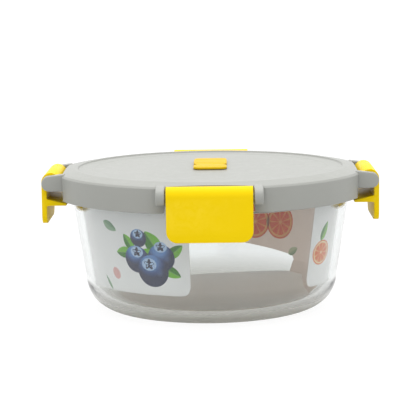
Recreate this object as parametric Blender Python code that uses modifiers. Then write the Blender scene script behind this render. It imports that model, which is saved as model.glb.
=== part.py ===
"""Round glass storage container with a four-clip snap lid, a seal ring, a vent and a card insert.

Metres, +Z up. The origin is the centre of the resting face, and the front clip points to -Y.
Everything round is turned about the Z axis. What repeats at the four clips is drawn once in
the plane of the radius and Z, and then turned to each side of the lid.
"""

import math

import bmesh
import bpy
from mathutils import Matrix

MM = 0.001

# Glass bowl
WALL_TOP_RADIUS = 78.7 * MM      # outer wall just under the bead
WALL_TOP_HEIGHT = 62.5 * MM
WALL_DRAFT = 8.8                 # degrees
HEEL_HEIGHT = 18.7 * MM
HEEL_WIDTH = 18.9 * MM
GLASS_WALL = 4.2 * MM
FLOOR_THICKNESS = 6.5 * MM
INNER_HEEL_RISE = 0.8 * MM       # inner heel's top above the outer heel's top
INNER_HEEL_WIDTH = 11.8 * MM
FOOT_WIDTH = 9.0 * MM            # width of the resting ring round the raised middle
FOOT_DEPTH = 0.6 * MM
RIM_RISE = 13.5 * MM             # rim above the top of the plain wall
RIM_ROUND = 1.9 * MM
BEAD_STANDOUT = 1.8 * MM         # bead beyond the top of the plain wall
BEAD_START = 1.0 * MM            # bead's underside above the top of the plain wall
BEAD_SLOPE = 1.4 * MM

# Seal ring
SEAL_THICKNESS = 1.8 * MM
SEAL_EDGE = 0.4 * MM

# Lid
SKIRT_STANDOUT = 7.0 * MM        # skirt's outer face beyond the bead
SKIRT_WALL = 2.2 * MM
SKIRT_OVER_BEAD = 1.3 * MM       # skirt's lower edge above the bead's underside
SKIRT_EDGE = 0.4 * MM
CROWN_THICKNESS = 2.8 * MM       # over the seal channel
CROWN_WIDTH = 9.2 * MM           # from the crest to the skirt's outer face
CREST_RISE = 3.7 * MM            # crest above the top of the skirt
CREST_FLAT = 0.5 * MM            # crest's level top, from its edge outwards
CREST_EDGE_WIDTH = 0.4 * MM
CREST_EDGE_DROP = 0.2 * MM
SHOULDER_ROUND = 0.6 * MM        # where the crown meets the skirt
CROWN_DROP = 1.2 * MM            # underside of the crown, below the top of the skirt
RECESS_DEPTH = 1.6 * MM
RECESS_SLOPE = 1.3 * MM          # how far the recess wall leans in
RING_WIDTH = 10.5 * MM           # ring between the recess wall and the flat middle
PANEL_STEP = 0.3 * MM            # flat middle below the ring
PANEL_STEP_WIDTH = 1.0 * MM
PANEL_THICKNESS = 2.0 * MM
RIM_CLEARANCE = 0.7 * MM         # guide wall outside the bead, and plug inside the glass
GUIDE_WALL = 1.6 * MM
GUIDE_DROP = 6.5 * MM            # guide wall's and plug's lower edge below the glass rim
PLUG_WALL = 1.8 * MM
GAP = 0.3 * MM                   # between pieces that touch

# Clip places on the lid
FLAT_WALL = 1.4 * MM             # flat back wall of a clip place, outside the guide wall's bore
FLAT_TOP_DROP = 0.5 * MM         # its top below the top of the skirt, inside the crown
WALL_BITE = 0.1 * MM             # how far pieces that join overlap
FLAT_LEAN = 0.8 * MM             # how much further in its face is at the skirt's lower edge
EAR_RADIUS = 4.3 * MM
EAR_WIDTH = 4.9 * MM
EAR_RISE = 1.8 * MM              # ear's top at its root above its round end
EAR_ROOT = 3.6 * MM              # root inside the flat back wall
AXIS_DROP = 3.1 * MM             # clip axis below the top of the skirt
BAR_RADIUS = 2.0 * MM

# Clips
CLIP_WIDTH = 45.5 * MM
CLIP_SIDE_GAP = 0.6 * MM
CLIP_BACK_GAP = 0.5 * MM         # between the flat back wall and the hood as it turns
PLATE_STANDOUT = 4.8 * MM        # plate's outer face beyond the clip axis
PLATE_THICKNESS = 2.8 * MM
CLIP_TAIL = 10.5 * MM            # plate's lower edge below the rib
CLIP_CORNER = 6.0 * MM
HOOD_RADIUS = 5.6 * MM
HOOD_RISE = 0.7 * MM             # hood's centre above the clip axis
BARREL_RADIUS = 4.7 * MM
BORE_CLEARANCE = 0.35 * MM
SNAP = 0.6 * MM                  # how much narrower the bore's mouth is than the bar
SLOT_ANGLE = 235.0               # the mouth's direction in degrees, 0 outwards and 90 up
RIB_GAP = 0.3 * MM               # rib's tip outside the bead
RIB_DROP = 1.0 * MM              # rib's tip below the bead
RIB_TIP = 1.1 * MM
RIB_ROOT = 3.7 * MM

# Vent in the middle of the lid
VENT_WIDTH = 19.0 * MM
VENT_FRONT = -15.0 * MM
VENT_BACK = 31.0 * MM
VENT_NECK = 1.0 * MM             # where it flexes, along Y
VENT_NOTCH = 1.6 * MM            # depth of the V at each end of the neck
VENT_NOTCH_HALF = 6.0 * MM
VENT_CORNER = 4.0 * MM
VENT_THICKNESS = 1.3 * MM
STEM_RADIUS = 2.2 * MM
STEM_CLEARANCE = 0.4 * MM
STEM_FROM_NECK = 8.0 * MM
STEM_HEAD_OVERLAP = 1.2 * MM     # head's edge beyond its hole
STEM_HEAD_HEIGHT = 1.6 * MM
PLUG_TAPER = 0.5 * MM
PLUG_LENGTH = 2.0 * MM
PLUG_FROM_NECK = 17.0 * MM

# Card insert
CARD_THICKNESS = 0.4 * MM
CARD_TOP_GAP = 2.0 * MM          # under the lid's plug
CARD_FLOOR_SHRINK = 1.0 * MM
CARD_GAP_START = -10.0           # degrees from the front, + to the right: the wall band is open here
CARD_GAP_END = 52.0
CARD_WEB_START = 60.0            # between these the band runs down onto the floor panel
CARD_WEB_END = 132.0

# Facets
TURN_STEPS = 64
CARD_STEPS = 72
ARC_STEPS = 5

# Worked out
WALL_SLOPE = math.tan(math.radians(WALL_DRAFT))
WALL_LOW_RADIUS = WALL_TOP_RADIUS - WALL_SLOPE * (WALL_TOP_HEIGHT - HEEL_HEIGHT)
BASE_RADIUS = WALL_LOW_RADIUS - HEEL_WIDTH
INNER_HEEL_HEIGHT = HEEL_HEIGHT + INNER_HEEL_RISE
INNER_HEEL_RADIUS = WALL_LOW_RADIUS + WALL_SLOPE * INNER_HEEL_RISE - GLASS_WALL
FLOOR_RADIUS = INNER_HEEL_RADIUS - INNER_HEEL_WIDTH
RIM_HEIGHT = WALL_TOP_HEIGHT + RIM_RISE
BEAD_RADIUS = WALL_TOP_RADIUS + BEAD_STANDOUT
BEAD_BOTTOM = WALL_TOP_HEIGHT + BEAD_START
SEAL_BOTTOM = RIM_HEIGHT + GAP
CHANNEL_ROOF = SEAL_BOTTOM + SEAL_THICKNESS + GAP
CREST_HEIGHT = CHANNEL_ROOF + CROWN_THICKNESS
SKIRT_TOP = CREST_HEIGHT - CREST_RISE
SKIRT_BOTTOM = BEAD_BOTTOM + SKIRT_OVER_BEAD
PANEL_HEIGHT = CREST_HEIGHT - RECESS_DEPTH
RING_HEIGHT = PANEL_HEIGHT + PANEL_STEP
LID_RADIUS = BEAD_RADIUS + SKIRT_STANDOUT
CREST_RADIUS = LID_RADIUS - CROWN_WIDTH
RING_RADIUS = CREST_RADIUS - RECESS_SLOPE
PANEL_RADIUS = RING_RADIUS - RING_WIDTH
GUIDE_RADIUS = BEAD_RADIUS + RIM_CLEARANCE
GUIDE_BOTTOM = RIM_HEIGHT - GUIDE_DROP
FLAT_DISTANCE = GUIDE_RADIUS + FLAT_WALL
HOOD_REACH = HOOD_RADIUS + math.hypot(HOOD_RADIUS - PLATE_STANDOUT, HOOD_RISE)
AXIS_RADIUS = FLAT_DISTANCE + CLIP_BACK_GAP + HOOD_REACH
AXIS_HEIGHT = SKIRT_TOP - AXIS_DROP
PLATE_RADIUS = AXIS_RADIUS + PLATE_STANDOUT
RIB_BOTTOM = BEAD_BOTTOM - RIB_DROP - RIB_TIP
CLIP_BOTTOM = RIB_BOTTOM - CLIP_TAIL
EAR_INNER = CLIP_WIDTH / 2 + CLIP_SIDE_GAP
VENT_HOLE_RADIUS = STEM_RADIUS + STEM_CLEARANCE
VENT_BOTTOM = PANEL_HEIGHT + GAP
VENT_TOP = VENT_BOTTOM + VENT_THICKNESS

SIDES = {"front": -90, "right": 0, "back": 90, "left": 180}   # degrees from +X


def clear_scene():
    for old in list(bpy.data.objects):
        bpy.data.objects.remove(old, do_unlink=True)


def new_collection(name):
    collection = bpy.data.collections.new(name)
    bpy.context.scene.collection.children.link(collection)
    return collection


def new_material(name, colour, roughness, alpha=1.0):
    material = bpy.data.materials.new(name)
    material.use_nodes = True
    shader = material.node_tree.nodes["Principled BSDF"]
    shader.inputs["Base Color"].default_value = (*colour, 1.0)
    shader.inputs["Roughness"].default_value = roughness
    shader.inputs["Metallic"].default_value = 0.0
    shader.inputs["Alpha"].default_value = alpha
    return material


def arc(centre, radii, start, end, steps=ARC_STEPS):
    """Points on an ellipse from angle start to angle end, in degrees, both ends included."""
    turn = [math.radians(start + (end - start) * i / steps) for i in range(steps + 1)]
    return [(centre[0] + radii[0] * math.cos(a), centre[1] + radii[1] * math.sin(a)) for a in turn]


def outer_wall_radius(height):
    return WALL_TOP_RADIUS + WALL_SLOPE * (height - WALL_TOP_HEIGHT)


def inner_wall_radius(height):
    return outer_wall_radius(height) - GLASS_WALL


def finish(obj, material, smooth_angle=35.0):
    obj.data.materials.append(material)
    obj.data.shade_smooth()
    obj.data.set_sharp_from_angle(angle=math.radians(smooth_angle))
    return obj


def make_helper(obj):
    """Turns an object into a cutter or a piece to join, which isn't a part itself."""
    obj.hide_render = True
    obj.display_type = "WIRE"
    return obj


def add_mesh(name, mesh, collection):
    obj = bpy.data.objects.new(name, mesh)
    collection.objects.link(obj)
    return obj


def turned(name, profile, collection, steps=TURN_STEPS):
    """A profile of (radius, height) points turned about Z: it runs down its outer side."""
    shape = bmesh.new()
    points = [shape.verts.new((radius, 0.0, height)) for radius, height in profile]
    for first, second in zip(points, points[1:]):
        shape.edges.new((first, second))
    mesh = bpy.data.meshes.new(name)
    shape.to_mesh(mesh)
    shape.free()
    obj = add_mesh(name, mesh, collection)
    screw = obj.modifiers.new("Turn", "SCREW")
    screw.axis = "Z"
    screw.steps = steps
    screw.render_steps = steps
    screw.use_merge_vertices = True
    screw.merge_threshold = 1e-5
    return obj


def slab(outline, low, high):
    """A mesh: a flat outline in X and Y, from height low to height high."""
    curve = bpy.data.curves.new("outline", "CURVE")
    curve.dimensions = "2D"
    curve.fill_mode = "BOTH"
    curve.extrude = (high - low) / 2
    spline = curve.splines.new("POLY")
    spline.points.add(len(outline) - 1)
    for point, (x, y) in zip(spline.points, outline):
        point.co = (x, y, 0.0, 1.0)
    spline.use_cyclic_u = True
    flat = bpy.data.objects.new("outline", curve)
    bpy.context.scene.collection.objects.link(flat)
    bpy.context.view_layer.update()
    graph = bpy.context.evaluated_depsgraph_get()
    mesh = bpy.data.meshes.new_from_object(flat.evaluated_get(graph))
    bpy.data.objects.remove(flat, do_unlink=True)
    shape = bmesh.new()
    shape.from_mesh(mesh)
    bmesh.ops.remove_doubles(shape, verts=shape.verts, dist=1e-6)
    bmesh.ops.translate(shape, verts=shape.verts, vec=(0.0, 0.0, (high + low) / 2))
    bmesh.ops.recalc_face_normals(shape, faces=shape.faces)
    shape.to_mesh(mesh)
    shape.free()
    return mesh


def radial_slab(outline, start, end):
    """A mesh: an outline of (radius, height) points on +X, from Y = start to Y = end."""
    mesh = slab(outline, -end, -start)
    mesh.transform(Matrix.Rotation(math.radians(90), 4, "X"))
    return mesh


def joined(meshes, angles):
    """One mesh that holds each of the meshes, turned about Z to each of the angles."""
    whole = bmesh.new()
    for angle in angles:
        for mesh in meshes:
            copy = mesh.copy()
            copy.transform(Matrix.Rotation(math.radians(angle), 4, "Z"))
            whole.from_mesh(copy)
            bpy.data.meshes.remove(copy)
    result = bpy.data.meshes.new("group")
    whole.to_mesh(result)
    whole.free()
    return result


def cone_mesh(low_radius, high_radius, low, high, x=0.0, y=0.0, segments=24):
    """A mesh: an upright cone or cylinder from height low to height high."""
    shape = bmesh.new()
    bmesh.ops.create_cone(
        shape, cap_ends=True, segments=segments, radius1=low_radius, radius2=high_radius,
        depth=high - low, matrix=Matrix.Translation((x, y, (high + low) / 2)),
    )
    mesh = bpy.data.meshes.new("cone")
    shape.to_mesh(mesh)
    shape.free()
    return mesh


def combine(obj, tool, operation):
    boolean = obj.modifiers.new(operation.title(), "BOOLEAN")
    boolean.operation = operation
    boolean.solver = "EXACT"
    boolean.object = tool


def make_bowl(parts, glass):
    """A pressed bowl: raised base middle, round heel, drafted wall, and a bead under its rim."""
    inner_top = RIM_HEIGHT - RIM_ROUND
    inside = [(0.0, FLOOR_THICKNESS)]
    inside += arc((FLOOR_RADIUS, INNER_HEEL_HEIGHT),
                  (INNER_HEEL_WIDTH, INNER_HEEL_HEIGHT - FLOOR_THICKNESS), -90, 0, 8)
    inside.append((inner_wall_radius(inner_top), inner_top))
    middle = (inner_wall_radius(inner_top) + BEAD_RADIUS) / 2
    half = (BEAD_RADIUS - inner_wall_radius(inner_top)) / 2
    rim = arc((middle, inner_top), (half, RIM_ROUND), 180, 0, 8)[1:]
    outside = [
        (BEAD_RADIUS, BEAD_BOTTOM + BEAD_SLOPE),
        (outer_wall_radius(BEAD_BOTTOM), BEAD_BOTTOM),
    ]
    heel = arc((BASE_RADIUS, HEEL_HEIGHT), (HEEL_WIDTH, HEEL_HEIGHT), -WALL_DRAFT, -90, 9)
    foot_inner = BASE_RADIUS - FOOT_WIDTH
    base = [(foot_inner, 0.0), (foot_inner - FOOT_DEPTH, FOOT_DEPTH), (0.0, FOOT_DEPTH)]
    bowl = turned("glass_bowl", inside + rim + outside + heel + base, parts)
    return finish(bowl, glass)


def make_card(parts, card):
    """A thin printed card inside the bowl: a wall band, a floor panel and the web that joins them."""
    top = GUIDE_BOTTOM - CARD_TOP_GAP
    floor = FLOOR_THICKNESS + GAP
    corner = arc((FLOOR_RADIUS, INNER_HEEL_HEIGHT),
                 (INNER_HEEL_WIDTH - GAP, INNER_HEEL_HEIGHT - floor), 0, -90, 5)
    profile = [(inner_wall_radius(top) - GAP, top)]
    profile += corner
    profile += [(FLOOR_RADIUS - CARD_FLOOR_SHRINK, floor), (FLOOR_RADIUS / 2, floor), (0.0, floor)]
    shape = bmesh.new()
    points = [shape.verts.new((0.0, -radius, height)) for radius, height in profile]
    edges = [shape.edges.new(pair) for pair in zip(points, points[1:])]
    bmesh.ops.spin(
        shape, geom=points + edges, cent=(0, 0, 0), axis=(0, 0, 1), dvec=(0, 0, 0),
        angle=math.radians(360), steps=CARD_STEPS, use_merge=True,
    )
    bmesh.ops.remove_doubles(shape, verts=shape.verts, dist=1e-6)
    removed = []
    for face in shape.faces:
        centre = face.calc_center_median()
        around = math.degrees(math.atan2(centre.x, -centre.y))
        in_wall = centre.z > INNER_HEEL_HEIGHT
        in_heel = not in_wall and centre.xy.length > FLOOR_RADIUS - CARD_FLOOR_SHRINK
        if in_wall and CARD_GAP_START < around < CARD_GAP_END:
            removed.append(face)
        if in_heel and not CARD_WEB_START < around < CARD_WEB_END:
            removed.append(face)
    bmesh.ops.delete(shape, geom=removed, context="FACES")
    bmesh.ops.recalc_face_normals(shape, faces=shape.faces)
    lowest = min(shape.faces, key=lambda face: face.calc_center_median().xy.length)
    if lowest.normal.z < 0:
        bmesh.ops.reverse_faces(shape, faces=shape.faces)
    mesh = bpy.data.meshes.new("paper_insert")
    shape.to_mesh(mesh)
    shape.free()
    obj = add_mesh("paper_insert", mesh, parts)
    thick = obj.modifiers.new("Thickness", "SOLIDIFY")
    thick.thickness = CARD_THICKNESS
    thick.offset = 1.0
    return finish(obj, card)


def lid_profile():
    """The lid's section: panel, recess, crest, skirt, guide wall, seal channel and plug."""
    crest_end = CREST_RADIUS + CREST_FLAT
    crown = [
        (0.0, PANEL_HEIGHT),
        (PANEL_RADIUS, PANEL_HEIGHT),
        (PANEL_RADIUS + PANEL_STEP_WIDTH, RING_HEIGHT),
        (RING_RADIUS, RING_HEIGHT),
        (CREST_RADIUS - CREST_EDGE_WIDTH, CREST_HEIGHT - CREST_EDGE_DROP),
        (crest_end, CREST_HEIGHT),
    ]
    span = (LID_RADIUS - SHOULDER_ROUND - crest_end, CREST_RISE - SHOULDER_ROUND)
    crown += arc((crest_end, CREST_HEIGHT - span[1]), span, 90, 15, 5)[1:]
    skirt_inner = LID_RADIUS - SKIRT_WALL
    under_crown = SKIRT_TOP - CROWN_DROP
    skirt = [
        (LID_RADIUS, SKIRT_TOP - SKIRT_EDGE),
        (LID_RADIUS, SKIRT_BOTTOM + SKIRT_EDGE),
        (LID_RADIUS - SKIRT_EDGE, SKIRT_BOTTOM),
        (skirt_inner, SKIRT_BOTTOM),
        (skirt_inner, under_crown),
    ]
    guide_outer = GUIDE_RADIUS + GUIDE_WALL
    guide = [
        (guide_outer, under_crown),
        (guide_outer, GUIDE_BOTTOM),
        (GUIDE_RADIUS, GUIDE_BOTTOM),
        (GUIDE_RADIUS, CHANNEL_ROOF),
    ]
    plug_outer = inner_wall_radius(GUIDE_BOTTOM) - RIM_CLEARANCE
    plug_inner = plug_outer - PLUG_WALL
    underside = PANEL_HEIGHT - PANEL_THICKNESS
    plug = [
        (plug_outer, CHANNEL_ROOF),
        (plug_outer, GUIDE_BOTTOM),
        (plug_inner, GUIDE_BOTTOM),
        (plug_inner, underside),
        (0.0, underside),
    ]
    return crown + skirt + guide + plug


def make_lid(parts, helpers, plastic):
    """The lid with its four clip places: flat back walls, pairs of ears, and hinge bars."""
    lid = turned("lid", lid_profile(), parts)
    angles = list(SIDES.values())
    wall_inner = GUIDE_RADIUS + WALL_BITE
    wall_top = SKIRT_TOP - FLAT_TOP_DROP
    wall_bottom = GUIDE_BOTTOM - WALL_BITE
    wall_half = math.sqrt(LID_RADIUS ** 2 - FLAT_DISTANCE ** 2)
    wall = radial_slab(
        [(wall_inner, wall_bottom), (FLAT_DISTANCE + 2 * MM, wall_bottom),
         (FLAT_DISTANCE + 2 * MM, wall_top), (wall_inner, wall_top)],
        -wall_half, wall_half)
    walls = make_helper(add_mesh("clip_place_walls", joined([wall], angles), helpers))
    combine(lid, walls, "UNION")

    reach = AXIS_RADIUS + 20 * MM
    low, high = SKIRT_BOTTOM - 5 * MM, CREST_HEIGHT + 5 * MM
    lean = FLAT_LEAN / (CREST_HEIGHT - SKIRT_BOTTOM)
    cut = radial_slab(
        [(FLAT_DISTANCE - lean * (CREST_HEIGHT - low), low), (reach, low), (reach, high),
         (FLAT_DISTANCE + lean * (high - CREST_HEIGHT), high)],
        -LID_RADIUS / 2, LID_RADIUS / 2)
    cuts = make_helper(add_mesh("clip_place_cutter", joined([cut], angles), helpers))
    combine(lid, cuts, "DIFFERENCE")

    root = FLAT_DISTANCE - EAR_ROOT
    ear = arc((AXIS_RADIUS, AXIS_HEIGHT), (EAR_RADIUS, EAR_RADIUS), -90, 80, 8)
    ear += [(root, AXIS_HEIGHT + EAR_RADIUS + EAR_RISE), (root, AXIS_HEIGHT - EAR_RADIUS)]
    outer = EAR_INNER + EAR_WIDTH
    ears = [radial_slab(ear, EAR_INNER, outer), radial_slab(ear, -outer, -EAR_INNER)]
    combine(lid, make_helper(add_mesh("ears", joined(ears, angles), helpers)), "UNION")

    circle = arc((AXIS_RADIUS, AXIS_HEIGHT), (BAR_RADIUS, BAR_RADIUS), 0, 360 - 360 / 20, 19)
    end = EAR_INNER + EAR_WIDTH / 2
    bar = radial_slab(circle, -end, end)
    combine(lid, make_helper(add_mesh("hinge_bars", joined([bar], angles), helpers)), "UNION")

    low, high = PANEL_HEIGHT - 2 * PANEL_THICKNESS, PANEL_HEIGHT + PANEL_THICKNESS
    holes = [cone_mesh(VENT_HOLE_RADIUS, VENT_HOLE_RADIUS, low, high, y=y)
             for y in (VENT_NECK - STEM_FROM_NECK, VENT_NECK + PLUG_FROM_NECK)]
    drills = make_helper(add_mesh("vent_holes", joined(holes, [0]), helpers))
    combine(lid, drills, "DIFFERENCE")
    return finish(lid, plastic)


def make_seal(parts, silicone):
    """The silicone ring in the lid's channel, on top of the glass rim."""
    inner = inner_wall_radius(GUIDE_BOTTOM) - RIM_CLEARANCE + GAP
    outer = GUIDE_RADIUS - GAP
    top = SEAL_BOTTOM + SEAL_THICKNESS
    edge = SEAL_EDGE
    profile = [
        (inner, top - edge), (inner + edge, top), (outer - edge, top), (outer, top - edge),
        (outer, SEAL_BOTTOM + edge), (outer - edge, SEAL_BOTTOM), (inner + edge, SEAL_BOTTOM),
        (inner, SEAL_BOTTOM + edge), (inner, top - edge),
    ]
    return finish(turned("seal_ring", profile, parts), silicone)


def clip_section():
    """A clip's section: plate, hood over the hinge bar, barrel under it, and the locking rib."""
    hood = (PLATE_RADIUS - HOOD_RADIUS, AXIS_HEIGHT + HOOD_RISE)
    plate_inner = PLATE_RADIUS - PLATE_THICKNESS
    rib_tip = BEAD_RADIUS + RIB_GAP
    section = [(PLATE_RADIUS, CLIP_BOTTOM)]
    section += arc(hood, (HOOD_RADIUS, HOOD_RADIUS), 0, 200, 12)
    section += arc((AXIS_RADIUS, AXIS_HEIGHT), (BARREL_RADIUS, BARREL_RADIUS), 215, 290, 5)
    section += [
        (plate_inner, AXIS_HEIGHT - BARREL_RADIUS),
        (plate_inner, RIB_BOTTOM + RIB_ROOT),
        (rib_tip, RIB_BOTTOM + RIB_TIP),
        (rib_tip, RIB_BOTTOM),
        (plate_inner, RIB_BOTTOM),
        (plate_inner, CLIP_BOTTOM),
    ]
    return section


def clip_front_outline():
    """A clip seen from outside, as (height, width) points, with its two lower corners round."""
    half = CLIP_WIDTH / 2
    corner = CLIP_BOTTOM + CLIP_CORNER
    high = AXIS_HEIGHT + 2 * HOOD_RADIUS
    outline = [(high, -half), (high, half)]
    outline += arc((corner, half - CLIP_CORNER), (CLIP_CORNER, CLIP_CORNER), 90, 180)
    outline += arc((corner, CLIP_CORNER - half), (CLIP_CORNER, CLIP_CORNER), 180, 270)
    return outline


def bore_outline():
    """The clip's bore with its mouth, as (radius, height) points."""
    radius = BAR_RADIUS + BORE_CLEARANCE
    spread = math.degrees(math.asin((BAR_RADIUS - SNAP / 2) / radius))
    outline = arc((AXIS_RADIUS, AXIS_HEIGHT), (radius, radius),
                  SLOT_ANGLE + spread, SLOT_ANGLE + 360 - spread, 18)
    away = math.radians(SLOT_ANGLE)
    step = (2 * HOOD_RADIUS * math.cos(away), 2 * HOOD_RADIUS * math.sin(away))
    first, last = outline[0], outline[-1]
    return outline + [(last[0] + step[0], last[1] + step[1]),
                      (first[0] + step[0], first[1] + step[1])]


def make_clip(side, parts, helpers, plastic):
    """One locking clip. Its origin is on the axis that it turns about."""
    half = CLIP_WIDTH / 2
    angle = math.radians(SIDES[side])
    turn = Matrix.Rotation(angle, 4, "Z")
    axis_point = turn @ Matrix.Translation((AXIS_RADIUS, 0, AXIS_HEIGHT))
    to_axis = Matrix.Translation((-AXIS_RADIUS, 0, -AXIS_HEIGHT))

    front = slab(clip_front_outline(), BEAD_RADIUS - 2 * MM, PLATE_RADIUS + 2 * MM)
    front.transform(Matrix(((0, 0, 1, 0), (0, 1, 0, 0), (1, 0, 0, 0), (0, 0, 0, 1))))
    front.flip_normals()
    shapes = {
        "clip_" + side: radial_slab(clip_section(), -half, half),
        "clip_outline_" + side: front,
        "clip_bore_" + side: radial_slab(bore_outline(), -half - 1 * MM, half + 1 * MM),
    }
    made = []
    for name, mesh in shapes.items():
        mesh.transform(to_axis)
        obj = add_mesh(name, mesh, helpers if made else parts)
        obj.matrix_world = axis_point
        made.append(obj)
    clip, outline, bore = made
    combine(clip, make_helper(outline), "INTERSECT")
    combine(clip, make_helper(bore), "DIFFERENCE")
    return finish(clip, plastic)


def vent_outline(near, far):
    """Half of the vent as (x, y) points, from its neck at y = near to its end at y = far."""
    way = math.copysign(1, far - near)
    half = VENT_WIDTH / 2
    outline = [(half - VENT_NOTCH, near), (half, near + way * VENT_NOTCH_HALF)]
    start, end = (0, 90) if way > 0 else (0, -90)
    centre = (half - VENT_CORNER, far - way * VENT_CORNER)
    outline += arc(centre, (VENT_CORNER, VENT_CORNER), start, end)
    return outline + [(-x, y) for x, y in reversed(outline)]


def make_vent_anchor(parts, helpers, silicone):
    """The front of the vent, held in the lid by a stem with a head under the panel."""
    outline = vent_outline(VENT_NECK - GAP / 2, VENT_FRONT)
    anchor = add_mesh("vent_anchor", slab(outline, VENT_BOTTOM, VENT_TOP), parts)
    y = VENT_NECK - STEM_FROM_NECK
    head_top = PANEL_HEIGHT - PANEL_THICKNESS - GAP
    head_bottom = head_top - STEM_HEAD_HEIGHT
    middle = VENT_BOTTOM + VENT_THICKNESS / 2
    stem = cone_mesh(STEM_RADIUS, STEM_RADIUS, head_bottom + STEM_HEAD_HEIGHT / 2, middle, y=y)
    head_radius = VENT_HOLE_RADIUS + STEM_HEAD_OVERLAP
    head = cone_mesh(STEM_RADIUS - STEM_CLEARANCE, head_radius, head_bottom, head_top, y=y)
    for name, mesh in (("vent_stem", stem), ("vent_stem_head", head)):
        combine(anchor, make_helper(add_mesh(name, mesh, helpers)), "UNION")
    return finish(anchor, silicone)


def make_vent_flap(parts, helpers, silicone):
    """The back of the vent, which lifts. Its origin is on the neck that it flexes about."""
    outline = vent_outline(VENT_NECK + GAP / 2, VENT_BACK)
    y = VENT_NECK + PLUG_FROM_NECK
    middle = VENT_BOTTOM + VENT_THICKNESS / 2
    plug = cone_mesh(STEM_RADIUS - PLUG_TAPER, STEM_RADIUS, VENT_BOTTOM - PLUG_LENGTH, middle, y=y)
    neck = Matrix.Translation((0, VENT_NECK, VENT_TOP))
    shapes = {"vent_flap": slab(outline, VENT_BOTTOM, VENT_TOP), "vent_plug": plug}
    made = []
    for name, mesh in shapes.items():
        mesh.transform(neck.inverted())
        obj = add_mesh(name, mesh, helpers if made else parts)
        obj.matrix_world = neck
        made.append(obj)
    flap, plug = made
    combine(flap, make_helper(plug), "UNION")
    return finish(flap, silicone)


def main():
    clear_scene()
    parts = new_collection("glass_storage_container")
    helpers = new_collection("cutters")
    helpers.hide_render = True
    glass = new_material("clear_glass", (0.93, 0.96, 0.95), 0.03, alpha=0.35)
    grey = new_material("warm_grey_plastic", (0.60, 0.61, 0.58), 0.45)
    yellow = new_material("yellow_plastic", (0.93, 0.66, 0.01), 0.35)
    yellow_silicone = new_material("yellow_silicone", (0.95, 0.72, 0.05), 0.5)
    clear_silicone = new_material("clear_silicone", (0.82, 0.82, 0.80), 0.5)
    card = new_material("printed_card", (0.72, 0.70, 0.66), 0.6)

    make_bowl(parts, glass)
    make_card(parts, card)
    make_lid(parts, helpers, grey)
    make_seal(parts, clear_silicone)
    make_vent_anchor(parts, helpers, yellow_silicone)
    make_vent_flap(parts, helpers, yellow_silicone)
    for side in SIDES:
        make_clip(side, parts, helpers, yellow)


main()
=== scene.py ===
"""Finished pieces of a round glass food container with a four-clip lid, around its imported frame.

The scene is in metres and the sizes below are in millimetres. +Z is up and the front clip points
to -Y. Each piece is turned or drawn as an outline, given its thickness and its rounded edges, and
then takes the place of the frame's plain solid.
"""

import math

import bpy
from mathutils import Matrix, Vector


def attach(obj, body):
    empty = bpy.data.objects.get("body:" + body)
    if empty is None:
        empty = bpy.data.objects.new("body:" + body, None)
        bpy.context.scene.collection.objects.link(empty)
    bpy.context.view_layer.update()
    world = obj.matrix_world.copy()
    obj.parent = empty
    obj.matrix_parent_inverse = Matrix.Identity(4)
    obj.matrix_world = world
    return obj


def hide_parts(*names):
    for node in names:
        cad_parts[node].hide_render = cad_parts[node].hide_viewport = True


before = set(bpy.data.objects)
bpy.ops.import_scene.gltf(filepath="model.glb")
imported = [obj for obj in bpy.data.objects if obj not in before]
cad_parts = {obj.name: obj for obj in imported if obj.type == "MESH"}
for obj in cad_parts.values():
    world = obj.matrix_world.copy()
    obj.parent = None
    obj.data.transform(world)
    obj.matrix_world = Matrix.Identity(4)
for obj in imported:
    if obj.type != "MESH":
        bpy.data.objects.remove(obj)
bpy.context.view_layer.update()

MM = 0.001
SIDES = {"right": 0, "back": 90, "left": 180, "front": 270}   # degrees from +X
WELD = 2e-6              # metres: points closer than this are one point

# Bowl
WALL_TOP_RADIUS = 78.7
WALL_TOP = 62.5
WALL_SLOPE = math.tan(math.radians(8.8))
HEEL_HEIGHT = 18.7
HEEL_WIDTH = 18.9
GLASS_WALL = 4.2
FLOOR_TOP = 6.5
INNER_HEEL_TOP = 19.5
INNER_HEEL_WIDTH = 11.8
BEAD_RADIUS = 80.5
BEAD_BOTTOM = 63.5
RIM_TOP = 76.0
FOOT_WIDTH = 9.0         # the resting ring
FOOT_HEIGHT = 0.6        # how far the middle of the underside is raised

# Lid
LID_RADIUS = 87.5
SKIRT_BOTTOM = 64.8
SKIRT_TOP = 77.5
CREST_TOP = 80.7
CREST_RADIUS = 78.3
PANEL_TOP = 79.6
PANEL_RADIUS = 66.5
GUIDE_RADIUS = 81.2
GUIDE_BOTTOM = 69.5
CHANNEL_ROOF = 78.4
FLAT_DISTANCE = 82.6     # from the middle to the flat face behind each clip
LID_WALL = 2.0
SKIRT_WALL = 2.2
PLUG_WALL = 1.8
GUIDE_WALL = 1.6
PLUG_GAP = 0.7           # to the glass
SEAL_GAP = 0.3           # to the rim, the channel's roof and the guide wall

# Clips and their hinges
AXIS_RADIUS = 89.763
AXIS_HEIGHT = 74.4
BAR_RADIUS = 2.0
BORE_RADIUS = 2.35
BARREL_RADIUS = 4.7
EAR_RADIUS = 4.3
EAR_INSIDE = 23.35       # from the clip's middle
EAR_OUTSIDE = 28.25
CLIP_WIDTH = 45.5
CLIP_OUTSIDE = 94.563
CLIP_BOTTOM = 50.9
CLIP_PLATE = 2.8         # thickness
CLIP_CORNER = 6.0
HOOD_RADIUS = 5.3
MOUTH_WIDTH = 3.4        # the barrel's open side, narrower than the bar
MOUTH_TURN = 235.0       # degrees, down and inwards
RIB_TIP = 80.8
RIB_TOP = 62.5
RIB_BOTTOM = 61.4

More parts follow.
